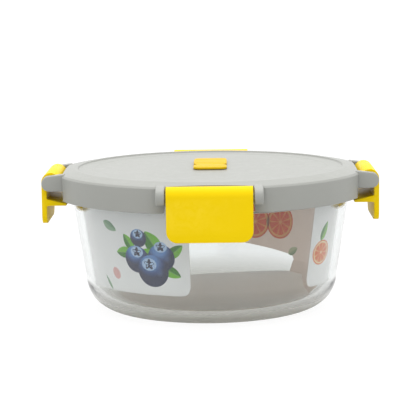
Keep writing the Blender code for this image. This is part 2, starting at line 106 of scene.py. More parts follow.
# Vent
VENT_NECK = 1.0          # along Y
VENT_BOTTOM = 79.9
VENT_TOP = 81.2
VENT_HALF_WIDTH = 9.5
NECK_HALF_WIDTH = 7.4
NECK_SLIT = 0.3
ANCHOR_STEM = -8.0       # from the neck
FLAP_PLUG = 17.0
VENT_HOLE_RADIUS = 2.6

# Card. Its angles are in degrees from the front, + to the right
CARD_THICK = 0.4
CARD_GAP = 0.3           # to the glass
CARD_TOP = 67.5
CARD_BOTTOM = 17.6
CARD_CORNER = 5.0
BAND_START = 48.5
BAND_END = 351.0
BAND_MIDDLE_RADIUS = 70.0
BAND_LOW_RADIUS = 68.0
WEB_START = 58.0
WEB_END = 131.5
NOTCH_RADIUS = 2.6       # the rounded corner between the web's end and the band
NOTCH_FADE = (215.0, 265.0)
CLIMB = 7.4              # of the band's lower edge, highest between these angles
CLIMB_TOP = (175.0, 215.0)
CLIMB_SPREAD = 43.5
FLOOR_PANEL_RADIUS = 60.5
FLOOR_PANEL_RIGHT = 6.9  # how far it is pushed to the right and to the front
FLOOR_PANEL_FRONT = 2.0
FLOOR_PANEL_LIMIT = 63.0
FLOOR_PANEL_LIMIT_FRONT = 1.5
FLOOR_FOLD = 55.0        # from the middle to the straight fold under the web
INK_GAP = 0.03           # between the card and its first layer of ink
INK_LAYER = 0.012
INK_THICK = 0.008


# ---------------------------------------------------------------- shaping by hand

def only(obj):
    """Makes obj the active piece and the only one selected."""
    bpy.ops.object.select_all(action="DESELECT")
    obj.select_set(True)
    bpy.context.view_layer.objects.active = obj
    return obj


def edit(obj):
    """Opens edit mode with all of obj selected."""
    only(obj)
    bpy.ops.object.mode_set(mode="EDIT")
    bpy.ops.mesh.select_all(action="SELECT")


def leave_edit():
    """Back to object mode."""
    bpy.ops.object.mode_set(mode="OBJECT")


def edit_edges(obj, test):
    """Opens edit mode with just the edges selected whose two ends pass the test."""
    only(obj)
    bpy.ops.object.mode_set(mode="EDIT")
    bpy.ops.mesh.select_mode(type="EDGE")
    bpy.ops.mesh.select_all(action="DESELECT")
    leave_edit()
    mesh = obj.data
    for edge in mesh.edges:
        edge.select = test(*(mesh.vertices[i].co for i in edge.vertices))
    bpy.ops.object.mode_set(mode="EDIT")


def apply_all(obj):
    """Applies every modifier of obj, in order."""
    only(obj)
    for modifier in list(obj.modifiers):
        bpy.ops.object.modifier_apply(modifier=modifier.name)


def round_edges(obj, width, segments=3):
    """Rounds every edge that turns by more than 35 degrees."""
    bevel = obj.modifiers.new("edges", "BEVEL")
    bevel.width = width * MM
    bevel.segments = segments
    bevel.limit_method = "ANGLE"
    bevel.angle_limit = math.radians(35.0)
    bevel.miter_outer = "MITER_ARC"
    apply_all(obj)


def combine(obj, tool, operation):
    """Joins the tool to obj, or cuts it out of obj, and takes the tool away."""
    boolean = obj.modifiers.new("shape", "BOOLEAN")
    boolean.operation = operation
    boolean.solver = "EXACT"
    boolean.object = tool
    apply_all(obj)
    bpy.data.objects.remove(tool, do_unlink=True)


def smooth(obj):
    """Smooth shading, with an edge left sharp where it turns by more than 32 degrees."""
    only(obj)
    bpy.ops.object.shade_smooth_by_angle(angle=math.radians(32.0))


def rounded(corners, closed=False, steps=5):
    """A line of (across, up) points. A corner's third value is the radius that rounds it."""
    line = []
    count = len(corners)
    for i, corner in enumerate(corners):
        here = Vector(corner[:2])
        if len(corner) < 3 or (not closed and i in (0, count - 1)):
            line.append(tuple(here))
            continue
        to_last = Vector(corners[i - 1][:2]) - here
        to_next = Vector(corners[(i + 1) % count][:2]) - here
        half = to_last.angle(to_next) / 2
        reach = min(corner[2] / math.tan(half), 0.48 * to_last.length, 0.48 * to_next.length)
        radius = reach * math.tan(half)
        to_last.normalize()
        to_next.normalize()
        centre = here + (to_last + to_next).normalized() * radius / math.sin(half)
        start = here + to_last * reach - centre
        end = here + to_next * reach - centre
        turn = math.atan2(start.x * end.y - start.y * end.x, start.dot(end))
        for k in range(steps + 1):
            a = turn * k / steps
            line.append((
                centre.x + start.x * math.cos(a) - start.y * math.sin(a),
                centre.y + start.x * math.sin(a) + start.y * math.cos(a),
            ))
    return line


def arc(centre, radii, start, end, steps):
    """Points on an ellipse, from one turn to another in degrees."""
    turns = [math.radians(start + (end - start) * k / steps) for k in range(steps + 1)]
    return [(centre[0] + radii[0] * math.cos(a), centre[1] + radii[1] * math.sin(a)) for a in turns]


def turned(name, line, steps=192):
    """A solid of revolution: a point is drawn out along the line and spun about Z."""
    bpy.ops.object.select_all(action="DESELECT")
    bpy.ops.mesh.primitive_circle_add(vertices=3, radius=MM)
    obj = bpy.context.object
    obj.name = name
    edit(obj)
    bpy.ops.mesh.merge(type="CENTER")
    bpy.ops.transform.translate(value=(line[0][0] * MM, 0, line[0][1] * MM))
    for (across, up), (next_across, next_up) in zip(line, line[1:]):
        step = ((next_across - across) * MM, 0, (next_up - up) * MM)
        bpy.ops.mesh.extrude_vertices_move(TRANSFORM_OT_translate={"value": step})
    bpy.ops.mesh.select_all(action="SELECT")
    bpy.ops.mesh.spin(steps=steps, angle=2 * math.pi, center=(0, 0, 0), axis=(0, 0, 1))
    bpy.ops.mesh.select_all(action="SELECT")
    bpy.ops.mesh.remove_doubles(threshold=WELD)
    bpy.ops.mesh.normals_make_consistent(inside=False)
    leave_edit()
    return obj


def drawn(name, outline, place, depth):
    """A slab: a flat n-sided face set to the outline, moved by place, and pulled out by depth."""
    bpy.ops.object.select_all(action="DESELECT")
    bpy.ops.mesh.primitive_circle_add(vertices=len(outline), radius=MM, fill_type="NGON")
    obj = bpy.context.object
    obj.name = name
    for vertex, point in zip(obj.data.vertices, outline):
        vertex.co = place @ Vector((point[0] * MM, point[1] * MM, 0.0))
    edit(obj)
    out = place.to_3x3() @ Vector((0, 0, depth * MM))
    bpy.ops.mesh.extrude_region_move(TRANSFORM_OT_translate={"value": tuple(out)})
    bpy.ops.mesh.select_all(action="SELECT")
    bpy.ops.mesh.normals_make_consistent(inside=False)
    leave_edit()
    return obj


def upright(start):
    """Sets an outline of (radius, height) in the plane Y = start, to be pulled out along +Y."""
    return Matrix(((1, 0, 0, 0), (0, 0, 1, start * MM), (0, 1, 0, 0), (0, 0, 0, 1)))


def copies_round(obj, names):
    """One piece drawn on +X, copied to each side of the lid with a mesh of its own."""
    made = {}
    for side in SIDES:
        if side == "right":
            continue
        only(obj)
        bpy.ops.object.duplicate()
        made[side] = bpy.context.object
    made["right"] = obj
    for side, piece in made.items():
        piece.data.transform(Matrix.Rotation(math.radians(SIDES[side]), 4, "Z"))
        piece.name = names + side
        piece.data.name = names + side
    return made


def join(pieces, name):
    """Makes the pieces one object and names it."""
    bpy.ops.object.select_all(action="DESELECT")
    for piece in pieces:
        piece.select_set(True)
    bpy.context.view_layer.objects.active = pieces[0]
    bpy.ops.object.join()
    pieces[0].name = name
    pieces[0].data.name = name
    return pieces[0]


def all_round(obj, name):
    """The same copies joined, as one tool that shapes the lid on its four sides at once."""
    return join(list(copies_round(obj, name + "_").values()), name)


# ---------------------------------------------------------------- finishes

class Nodes:
    """A material with short calls for its nodes."""

    def __init__(self, name):
        self.material = bpy.data.materials.new(name)
        self.material.use_nodes = True
        self.tree = self.material.node_tree
        self.shader = self.tree.nodes["Principled BSDF"]
        self.place = self.tree.nodes.new("ShaderNodeTexCoord")

    def add(self, kind, links=None, **values):
        """A node of that kind, with its settings, and its sockets set or linked."""
        node = self.tree.nodes.new("ShaderNode" + kind)
        for key, value in values.items():
            setattr(node, key, value)
        for socket, value in (links or {}).items():
            target = node.inputs[socket]
            if isinstance(value, bpy.types.NodeSocket):
                self.tree.links.new(value, target)
            else:
                target.default_value = value
        return node

    def math(self, operation, a, b=0.0, c=0.0):
        return self.add("Math", {0: a, 1: b, 2: c}, operation=operation).outputs[0]

    def noise(self, scale, detail=3.0, rough=0.5, at=None, distortion=0.0):
        """Cloudy noise on the piece's own coordinates, in marks per metre, or on those given."""
        at = at or self.place.outputs["Object"]
        return self.add("TexNoise", {"Vector": at, "Scale": scale, "Detail": detail,
                                     "Roughness": rough, "Distortion": distortion}).outputs["Fac"]

    def ramp(self, value, *stops):
        """A colour by value, from stops of (place, colour)."""
        node = self.add("ValToRGB", {"Fac": value})
        ramp = node.color_ramp
        while len(ramp.elements) < len(stops):
            ramp.elements.new(0.5)
        for element, (at, colour) in zip(ramp.elements, stops):
            element.position = at
            element.color = (*colour, 1.0)
        return node.outputs["Color"]

    def span(self, value, low, high, to_low=0.0, to_high=1.0):
        """The value's way from low to high, as a number from to_low to to_high, and no further."""
        node = self.add("MapRange", {"Value": value, "From Min": low, "From Max": high,
                                     "To Min": to_low, "To Max": to_high})
        return node.outputs["Result"]

    def mix(self, share, first, second, blend="MIX"):
        """Two colours mixed, each a node's socket or a plain colour."""
        node = self.add("Mix", data_type="RGBA", blend_type=blend)
        for socket, value in zip((node.inputs[0], node.inputs[6], node.inputs[7]),
                                 (share, first, second)):
            if isinstance(value, bpy.types.NodeSocket):
                self.tree.links.new(value, socket)
            elif isinstance(value, tuple):
                socket.default_value = (*value, 1.0)
            else:
                socket.default_value = value
        return node.outputs[2]

    def set(self, **values):
        """Sets the shader's own sockets, or links nodes to them."""
        for key, value in values.items():
            socket = self.shader.inputs[key.replace("_", " ")]
            if isinstance(value, bpy.types.NodeSocket):
                self.tree.links.new(value, socket)
            elif isinstance(value, tuple) and len(value) == 3:
                socket.default_value = (*value, 1.0)
            else:
                socket.default_value = value

    def let_through(self, lamps, colour=None, glow=0.0, sheet=True):
        """Lamps reach through it. On a thin sheet, a share of what is seen is light from behind."""
        output = self.tree.nodes["Material Output"]
        front = self.shader.outputs[0]
        if glow:
            behind = self.add("BsdfTranslucent", {"Color": colour})
            front = self.add("MixShader", {0: glow, 1: front, 2: behind.outputs[0]}).outputs[0]
        clear = self.add("BsdfTransparent", {"Color": (*lamps, 1.0)})
        path = self.add("LightPath")
        passes = path.outputs["Is Shadow Ray"]
        if sheet:
            passes = self.math("MAXIMUM", passes, path.outputs["Is Diffuse Ray"])
        split = self.add("MixShader", {0: passes, 1: front, 2: clear.outputs[0]})
        self.tree.links.new(split.outputs[0], output.inputs["Surface"])

    def bump(self, height, strength, distance, under=None):
        """A relief of that height in millimetres, over another one if under is given."""
        links = {"Height": height, "Strength": strength, "Distance": distance * MM}
        if under is not None:
            links["Normal"] = under
        normal = self.add("Bump", links).outputs["Normal"]
        self.tree.links.new(normal, self.shader.inputs["Normal"])
        return normal


def moulded_plastic(name, colour, darker, worn, rough, gloss, flow):
    """Injection-moulded plastic: cloudy tone, fine spark-eroded grain, and paler rubbed edges."""
    n = Nodes(name)
    cloud = n.noise(flow, 4.0, 0.55)
    fine = n.noise(2600.0, 2.0, 0.6)
    scuff = n.noise(160.0, 5.0, 0.7, distortion=1.5)
    tone = n.ramp(cloud, (0.3, darker), (0.68, colour))
    tone = n.mix(n.span(fine, 0.3, 0.7, 0.0, 0.06), tone, darker)
    edge = n.add("NewGeometry").outputs["Pointiness"]
    rubbed = n.math("MULTIPLY", n.span(edge, 0.53, 0.62), n.span(scuff, 0.35, 0.7))
    tone = n.mix(n.math("MULTIPLY", rubbed, 0.25), tone, worn)
    n.set(Base_Color=tone, Specular_IOR_Level=gloss, IOR=1.47)
    n.set(Roughness=n.math("ADD", n.span(scuff, 0.2, 0.8, rough - 0.06, rough + 0.07),
                           n.span(fine, 0.2, 0.8, -0.03, 0.03)))
    under = n.bump(cloud, 0.08, 0.2)
    n.bump(fine, 0.22, 0.03, under)
    return n.material


def clear_glass(name):
    """Pressed soda-lime glass: faintly wavy, with tiny dust marks and a stippled underside."""
    n = Nodes(name)
    height = n.add("SeparateXYZ", {"Vector": n.place.outputs["Object"]}).outputs["Z"]
    stipple = n.span(height, 11.0 * MM, 1.0 * MM, 0.0, 0.72)
    # Painted shade: the glass's colour darkens and warms from 20 mm down to 4 mm, so the heel looks
    # shaded; above that it is an even tint.
    depth = n.span(height, 4.0 * MM, 20.0 * MM)
    tint_with_heel_shade = n.mix(depth, (0.54, 0.535, 0.495), (0.865, 0.88, 0.88))
    wave = n.noise(42.0, 2.0, 0.4)
    marks = n.noise(700.0, 3.0, 0.7)
    n.set(Base_Color=tint_with_heel_shade, IOR=1.51, Transmission_Weight=1.0, Specular_IOR_Level=0.2)
    n.set(Roughness=n.math("MAXIMUM", n.span(marks, 0.55, 0.9, 0.0, 0.05), stipple))
    n.bump(wave, 0.12, 0.25)
    n.let_through((0.995, 1.0, 0.995), sheet=False)
    output = n.tree.nodes["Material Output"]
    body = n.add("VolumeAbsorption", {"Color": (0.80, 0.83, 0.81, 1.0), "Density": 24.0})
    n.tree.links.new(body.outputs[0], output.inputs["Volume"])
    return n.material


def silicone(name, colour, darker, rough, transmission=0.0):
    """Soft moulded rubber: an even, slightly chalky skin."""
    n = Nodes(name)
    cloud = n.noise(60.0, 3.0)
    fine = n.noise(3200.0, 2.0)
    n.set(Base_Color=n.ramp(cloud, (0.3, darker), (0.7, colour)), IOR=1.41)
    n.set(Roughness=n.span(fine, 0.2, 0.8, rough - 0.05, rough + 0.07))
    n.set(Specular_IOR_Level=0.12, Transmission_Weight=transmission)
    n.bump(fine, 0.25, 0.03)
    return n.material


def card_board(name, colour, darker, rough, fibre, glow):
    """Thin board: long fibres, mottled tone, and a slight sheen on a coated side."""
    n = Nodes(name)
    stretch = n.add("Mapping", {"Vector": n.place.outputs["Object"], "Scale": (1.0, 1.0, 3.5)})
    threads = n.noise(900.0, 4.0, 0.7, at=stretch.outputs[0], distortion=0.8)
    cloud = n.noise(45.0, 4.0, 0.6)
    tone = n.ramp(cloud, (0.3, darker), (0.7, colour))
    tone = n.mix(n.span(threads, 0.35, 0.75, 0.0, fibre), tone, darker)
    n.set(Base_Color=tone, Specular_IOR_Level=0.15)
    n.set(Roughness=n.span(threads, 0.2, 0.8, rough - 0.06, rough + 0.08))
    n.bump(threads, 0.18, 0.04)
    n.let_through((1.0, 0.93, 0.87), tone, glow)
    return n.material


def ink(name, build, behind=None):
    """Printed ink. build(nodes, across, up) gives a colour, from -1 to 1 across the picture.

    behind is the tone it takes on the card's plain side, where it is seen against the light.
    """
    n = Nodes(name)
    split = n.add("SeparateXYZ", {"Vector": n.place.outputs["UV"]})
    across = n.math("MULTIPLY_ADD", split.outputs[0], 2.0, -1.0)
    up = n.math("MULTIPLY_ADD", split.outputs[1], 2.0, -1.0)
    colour = build(n, across, up)
    if behind:
        colour = n.mix(1.0, colour, behind, "MULTIPLY")
    fine = n.noise(1500.0, 2.0)
    colour = n.mix(n.span(fine, 0.3, 0.7, 0.0, 0.08), colour, (0.05, 0.05, 0.05))
    n.set(Base_Color=colour, Specular_IOR_Level=0.15)
    n.set(Roughness=n.span(fine, 0.2, 0.8, 0.45, 0.6))
    n.let_through((1.0, 1.0, 1.0), colour, 0.88 if behind else 0.0)
    return n.material


def radius_of(n, across, up, centre=(0.0, 0.0)):
    """Distance from a centre in the picture."""
    x = n.math("SUBTRACT", across, centre[0])
    y = n.math("SUBTRACT", up, centre[1])
    return n.math("SQRT", n.math("ADD", n.math("MULTIPLY", x, x), n.math("MULTIPLY", y, y)))


def berry_ink(n, across, up):
    """A dark berry with a pale bloom towards its crown and a soft light patch low down."""
    bloom = n.ramp(radius_of(n, across, up, (-0.15, 0.6)),
                   (0.0, (0.27, 0.5, 0.88)), (0.45, (0.16, 0.34, 0.72)),
                   (0.75, (0.06, 0.11, 0.28)), (1.0, (0.035, 0.04, 0.08)))
    mottle = n.noise(14.0, 5.0, 0.7, at=n.place.outputs["UV"])
    tone = n.mix(n.span(mottle, 0.35, 0.7, 0.0, 0.4), bloom, (0.045, 0.07, 0.19))
    patch = n.span(radius_of(n, across, up, (0.45, -0.1)), 0.28, 0.0)
    return n.mix(n.math("MULTIPLY", patch, 0.5), tone, (0.12, 0.2, 0.42))


def crown_ring_ink(n, across, up):
    """The pale ring round a berry's crown."""
    mottle = n.noise(9.0, 5.0, 0.7, at=n.place.outputs["UV"])
    return n.ramp(mottle, (0.3, (0.24, 0.44, 0.78)), (0.6, (0.62, 0.78, 0.96)))


def crown_star_ink(n, across, up):
    """The dark star in the middle of a berry's crown."""
    return n.ramp(radius_of(n, across, up), (0.1, (0.06, 0.06, 0.14)), (0.5, (0.02, 0.02, 0.04)),
                  (0.95, (0.06, 0.07, 0.16)))


def leaf_ink(light, dark):
    """A leaf, pale on one side of its midrib and deep green on the other, with fine veins."""
    def build(n, across, up):
        wave = n.noise(5.0, 2.0, at=n.place.outputs["UV"])
        side = n.span(n.math("ADD", up, n.math("MULTIPLY", wave, 0.12)), -0.02, 0.1)
        veins = n.math("SINE", n.math("MULTIPLY", n.math(
            "ADD", across, n.math("MULTIPLY", n.math("ABSOLUTE", up), -0.9)), 26.0))
        tone = n.mix(side, light, dark)
        tone = n.mix(n.span(veins, 0.7, 1.0, 0.0, 0.25), tone, light)
        rib = n.span(n.math("ABSOLUTE", up), 0.07, 0.02)
        return n.mix(n.math("MULTIPLY", rib, 0.5), tone, (0.4, 0.55, 0.25))
    return build


def orange_ink(n, across, up):
    """A cut orange: deep peel, pale pith, and segments with pale walls between them."""
    r = radius_of(n, across, up)
    turn = n.math("ARCTAN2", up, across)
    wall = n.math("ABSOLUTE", n.math("SINE", n.math("MULTIPLY", turn, 4.5)))
    fibre = n.noise(12.0, 5.0, 0.7, at=n.place.outputs["UV"])
    flesh = n.ramp(fibre, (0.3, (0.8, 0.07, 0.0)), (0.7, (0.97, 0.24, 0.01)))
    flesh = n.mix(n.span(wall, 0.4, 0.15), flesh, (1.0, 0.66, 0.28))
    flesh = n.mix(n.span(r, 0.16, 0.08), flesh, (1.0, 0.7, 0.34))
    pith = n.mix(n.span(r, 0.76, 0.8), flesh, (1.0, 0.78, 0.42))
    return n.mix(n.span(r, 0.88, 0.92), pith, (0.88, 0.16, 0.0))


def raspberry_ink(n, across, up):
    """A small pink berry, mottled by its drupelets."""
    mottle = n.noise(7.0, 4.0, 0.7, at=n.place.outputs["UV"])
    return n.ramp(mottle, (0.35, (0.8, 0.36, 0.34)), (0.65, (0.88, 0.62, 0.58)))


# ---------------------------------------------------------------- pieces

def wall_outside(height):
    """The bowl's outside radius at a height on its wall."""
    return WALL_TOP_RADIUS + WALL_SLOPE * (height - WALL_TOP)


def wall_inside(height):
    """The bowl's inside radius at a height on its wall."""
    return wall_outside(height) - GLASS_WALL


def make_bowl(glass):
    """The bowl's section, from the middle of its floor over the rim to its underside, turned."""
    low_radius = wall_outside(HEEL_HEIGHT)
    floor_radius = wall_inside(INNER_HEEL_TOP) - INNER_HEEL_WIDTH
    base_radius = low_radius - HEEL_WIDTH
    inner_heel = (INNER_HEEL_WIDTH, INNER_HEEL_TOP - FLOOR_TOP)
    line = [(0.0, FLOOR_TOP), (20.0, FLOOR_TOP), (40.0, FLOOR_TOP)]
    line += arc((floor_radius, INNER_HEEL_TOP), inner_heel, -90, -2, 20)
    line += rounded([
        (wall_inside(20.5), 20.5),
        (wall_inside(45.0), 45.0),
        (wall_inside(RIM_TOP), RIM_TOP, 1.7),
        (BEAD_RADIUS, RIM_TOP, 1.9),
        (BEAD_RADIUS, BEAD_BOTTOM + 1.0, 0.7),
        (wall_outside(BEAD_BOTTOM), BEAD_BOTTOM, 0.9),
        (wall_outside(45.0), 45.0),
        (wall_outside(20.0), 20.0),
    ])
    line += arc((base_radius, HEEL_HEIGHT), (HEEL_WIDTH, HEEL_HEIGHT), -8.8, -88, 24)
    foot = base_radius - FOOT_WIDTH
    line += rounded([(base_radius - 1.5, 0.0), (foot, 0.0, 0.5), (foot - 0.9, FOOT_HEIGHT, 0.5),
                     (foot - 12.0, FOOT_HEIGHT), (0.0, FOOT_HEIGHT)])
    bowl = turned("glass_bowl_pressed", line)
    bowl.data.materials.append(glass)
    smooth(bowl)
    return bowl


def lid_section():
    """The lid's section, from the middle of its top over the skirt to its underside."""
    skirt_inner = LID_RADIUS - SKIRT_WALL
    guide_outer = GUIDE_RADIUS + GUIDE_WALL
    plug_outer = wall_inside(GUIDE_BOTTOM) - PLUG_GAP
    plug_inner = plug_outer - PLUG_WALL
    under = PANEL_TOP - LID_WALL
    line = [(0.0, PANEL_TOP), (30.0, PANEL_TOP)]
    line += rounded([
        (50.0, PANEL_TOP),
        (PANEL_RADIUS, PANEL_TOP, 0.8),
        (PANEL_RADIUS + 0.9, PANEL_TOP + 0.2, 0.5),
        (CREST_RADIUS - 3.2, PANEL_TOP + 0.2, 0.5),
        (CREST_RADIUS - 2.8, CREST_TOP - 0.05, 0.45),
        (CREST_RADIUS - 1.0, CREST_TOP, 1.5),
        (CREST_RADIUS + 2.4, CREST_TOP - 0.7, 3.0),
        (LID_RADIUS - 1.0, SKIRT_TOP + 1.5, 0.8),
        (LID_RADIUS, SKIRT_TOP + 0.35, 0.5),
        (LID_RADIUS, SKIRT_BOTTOM, 0.5),
        (skirt_inner, SKIRT_BOTTOM, 0.4),
        (skirt_inner, SKIRT_TOP - 1.2, 0.5),
        (guide_outer, SKIRT_TOP - 1.2, 0.5),
        (guide_outer, GUIDE_BOTTOM, 0.4),
        (GUIDE_RADIUS, GUIDE_BOTTOM, 0.4),
        (GUIDE_RADIUS, CHANNEL_ROOF, 0.4),
        (plug_outer, CHANNEL_ROOF, 0.4),
        (plug_outer, GUIDE_BOTTOM, 0.6),
        (plug_inner, GUIDE_BOTTOM, 0.6),
        (plug_inner, under, 0.8),
        (55.0, under),
    ], steps=4)
    return line + [(30.0, under), (0.0, under)]


def place_walls():
    """Solid stretches between the guide wall and the flat face behind each clip."""
    inner, outer = GUIDE_RADIUS + 0.1, FLAT_DISTANCE + 2.0
    low, high = GUIDE_BOTTOM - 0.2, SKIRT_TOP - 0.5
    wall = [(inner, low), (outer, low), (outer, high), (inner, high)]
    half = EAR_OUTSIDE + 0.55
    return all_round(drawn("walls", wall, upright(-half), 2 * half), "walls")


def flat_cuts():
    """What is cut away outside the flat faces, which lean with the mould's draft."""
    lean = 0.8 / (CREST_TOP - SKIRT_BOTTOM)
    low, high, reach = SKIRT_BOTTOM - 5.0, CREST_TOP + 5.0, AXIS_RADIUS + 20.0
    cut = [(FLAT_DISTANCE - lean * (CREST_TOP - low), low), (reach, low), (reach, high),
           (FLAT_DISTANCE + lean * (high - CREST_TOP), high)]
    half = 43.0
    return all_round(drawn("cuts", cut, upright(-half), 2 * half), "cuts")


def hinge_ears():
    """Two rounded ears beside each clip."""
    root = FLAT_DISTANCE - 1.6
    ear = arc((AXIS_RADIUS, AXIS_HEIGHT), (EAR_RADIUS, EAR_RADIUS), -90, 80, 24)
    ear += [(root, AXIS_HEIGHT + 5.4), (root, AXIS_HEIGHT - EAR_RADIUS)]
    ears = []
    for start in (EAR_INSIDE, -EAR_OUTSIDE):
        one = drawn("ear", ear, upright(start), EAR_OUTSIDE - EAR_INSIDE)
        round_edges(one, 0.75, 4)
        ears.append(one)
    return all_round(join(ears, "ears"), "ears")


def hinge_bars():
    """The bar that each clip turns on, with its ends inside the ears."""
    circle = arc((AXIS_RADIUS, AXIS_HEIGHT), (BAR_RADIUS, BAR_RADIUS), 0, 350, 35)
    half = EAR_INSIDE + 2.4
    return all_round(drawn("bar", circle, upright(-half), 2 * half), "bars")


def vent_holes():
    """Round holes for the vent's stem and for its plug."""
    holes = []
    for y in (VENT_NECK + ANCHOR_STEM, VENT_NECK + FLAP_PLUG):
        ring = arc((0.0, y), (VENT_HOLE_RADIUS, VENT_HOLE_RADIUS), 0, 352.5, 47)
        holes.append(drawn("hole", ring, Matrix.Translation((0, 0, 75.0 * MM)), 8.0))
    return join(holes, "holes")


def make_lid(plastic):
    """The turned lid, cut flat behind each clip, with its ears, hinge bars and vent holes."""
    lid = turned("lid_moulded", lid_section())
    combine(lid, place_walls(), "UNION")
    combine(lid, flat_cuts(), "DIFFERENCE")
    combine(lid, hinge_ears(), "UNION")
    combine(lid, hinge_bars(), "UNION")
    combine(lid, vent_holes(), "DIFFERENCE")
    lid.data.materials.clear()
    lid.data.materials.append(plastic)
    smooth(lid)
    return lid


def make_seal(rubber):
    """The seal ring between the glass rim and the roof of the lid's channel."""
    inner = wall_inside(GUIDE_BOTTOM) - 0.4
    outer = GUIDE_RADIUS - SEAL_GAP
    low, top = RIM_TOP + SEAL_GAP, CHANNEL_ROOF - SEAL_GAP
    middle = (inner + outer) / 2
    line = rounded([
        (middle, top), (outer, top, 0.5), (outer, low, 0.5), (outer - 1.2, low, 0.3),
        (outer - 1.6, low + 0.35, 0.3), (inner + 1.6, low + 0.35, 0.3), (inner + 1.2, low, 0.3),
        (inner, low, 0.5), (inner, top, 0.5), (middle, top),
    ])
    ring = turned("seal_ring_moulded", line)
    ring.data.materials.append(rubber)
    smooth(ring)
    return ring


def clip_section():
    """The clip's section: plate, hood, barrel round the bar with its mouth, and the rib."""
    inside = CLIP_OUTSIDE - CLIP_PLATE
    hood = (CLIP_OUTSIDE - HOOD_RADIUS, AXIS_HEIGHT + 0.25)
    axis = (AXIS_RADIUS, AXIS_HEIGHT)
    bore, barrel = (BORE_RADIUS, BORE_RADIUS), (BARREL_RADIUS, BARREL_RADIUS)
    spread = math.degrees(math.asin(MOUTH_WIDTH / 2 / BORE_RADIUS))
    gap = math.degrees(math.asin(MOUTH_WIDTH / 2 / BARREL_RADIUS))
    outline = [(CLIP_OUTSIDE, CLIP_BOTTOM), (CLIP_OUTSIDE, 62.0), (CLIP_OUTSIDE, 70.0)]
    outline += arc(hood, (HOOD_RADIUS, HOOD_RADIUS), 0, 190, 30)
    outline += arc(axis, barrel, 204, MOUTH_TURN - gap, 3)
    outline += arc(axis, bore, MOUTH_TURN - spread, MOUTH_TURN - 360 + spread, 40)
    outline += arc(axis, barrel, MOUTH_TURN + gap, 290, 8)
    outline += rounded([
        (AXIS_RADIUS + 1.8, 69.9),
        (inside, 69.0, 0.8),
        (inside, 65.1, 0.6),
        (RIB_TIP, RIB_TOP),
        (RIB_TIP, RIB_BOTTOM),
        (inside, RIB_BOTTOM, 0.8),
        (inside, CLIP_BOTTOM),
    ])
    return outline


def make_clips(plastic):
    """One clip, with the lower corners of its plate rounded, copied to the four sides."""
    clip = drawn("clip", clip_section(), upright(-CLIP_WIDTH / 2), CLIP_WIDTH)
    half = CLIP_WIDTH / 2 * MM

    def lower_corner(first, second):
        low = CLIP_BOTTOM * MM + 1e-6
        across = abs(abs(first.y) - half) < 1e-6 and abs(abs(second.y) - half) < 1e-6
        return first.z < low and second.z < low and across and abs(first.x - second.x) > MM
    edit_edges(clip, lower_corner)
    bpy.ops.mesh.bevel(offset=CLIP_CORNER * MM, segments=12, affect="EDGES")
    leave_edit()
    round_edges(clip, 0.55, 3)
    clip.data.materials.append(plastic)
    smooth(clip)
    return copies_round(clip, "clip_moulded_")


def vent_outline(near, far):
    """One half of the vent from above: narrow at the neck, with two round corners."""
    wide, neck = VENT_HALF_WIDTH, NECK_HALF_WIDTH
    shoulder = near + math.copysign(5.0, far - near)
    outline = [(neck, near), (wide, shoulder), (wide, far, 4.0), (-wide, far, 4.0),
               (-wide, shoulder), (-neck, near)]
    return rounded(outline, closed=True, steps=8)


def vent_groove(y):
    """A round bar across the vent, half sunk in its top, that cuts a fine groove."""
    section = arc((y, VENT_TOP + 0.25), (0.5, 0.5), 0, 337.5, 15)
    half = 8.2
    across = Matrix(((0, 0, 1, -half * MM), (1, 0, 0, 0), (0, 1, 0, 0), (0, 0, 0, 1)))
    return drawn("groove", section, across, 2 * half)


def make_vent(rubber):
    """The vent's two halves, each with its stem or plug under it and fine cross grooves on top."""
    level = Matrix.Translation((0, 0, VENT_BOTTOM * MM))
    inside = VENT_BOTTOM + 0.6
    stem = rounded([(0, inside), (2.2, inside), (2.2, 77.3, 0.2), (3.8, 77.3, 0.3),
                    (2.0, 75.7, 0.6), (0, 75.7)])
    plug = rounded([(0, inside), (2.0, inside), (1.5, 77.95, 0.3), (0, 77.95)])
    slit = NECK_SLIT / 2
    halves = (("vent_anchor_moulded", VENT_NECK - slit, -15.0, (-9.5,), stem, ANCHOR_STEM),
              ("vent_flap_moulded", VENT_NECK + slit, 31.0, (9.5, 26.0), plug, FLAP_PLUG))
    made = []
    for name, near, far, grooves, section, from_neck in halves:
        half = drawn(name, vent_outline(near, far), level, VENT_TOP - VENT_BOTTOM)
        round_edges(half, 0.35, 3)
        for y in grooves:
            combine(half, vent_groove(y), "DIFFERENCE")
        fastener = turned("fastener", section, 48)
        fastener.data.transform(Matrix.Translation((0, (VENT_NECK + from_neck) * MM, 0)))
        combine(half, fastener, "UNION")
        half.data.materials.clear()
        half.data.materials.append(rubber)
        smooth(half)
        made.append(half)
    return made


# ---------------------------------------------------------------- card and its pictures

def card_radius(height):
    """The radius of the card's outer side at a height on the wall."""
    return wall_inside(height) - CARD_GAP


def on_card(azimuth, height, out=0.0):
    """A place on the card's outer side, or out from it."""
    turn = math.radians(azimuth)
    radius = card_radius(height) + out
    return Vector((radius * math.sin(turn), -radius * math.cos(turn), height)) * MM


def band_rise(azimuth):
    """How far the band's lower edge climbs behind, as a straight strip does on a tapered wall."""
    if azimuth <= WEB_END:
        return 0.0
    from_back = max(0.0, CLIMB_TOP[0] - azimuth, azimuth - CLIMB_TOP[1]) / CLIMB_SPREAD
    from_web = (azimuth - WEB_END) * math.radians(1) * BAND_LOW_RADIUS
    notch = NOTCH_RADIUS * math.sqrt(1.0 - max(0.0, 1.0 - from_web / NOTCH_RADIUS) ** 2)
    fade_start, fade_end = NOTCH_FADE
    fade = min(1.0, max(0.0, fade_end - azimuth) / (fade_end - fade_start))
    return fade * notch + CLIMB * max(0.0, 1.0 - from_back)


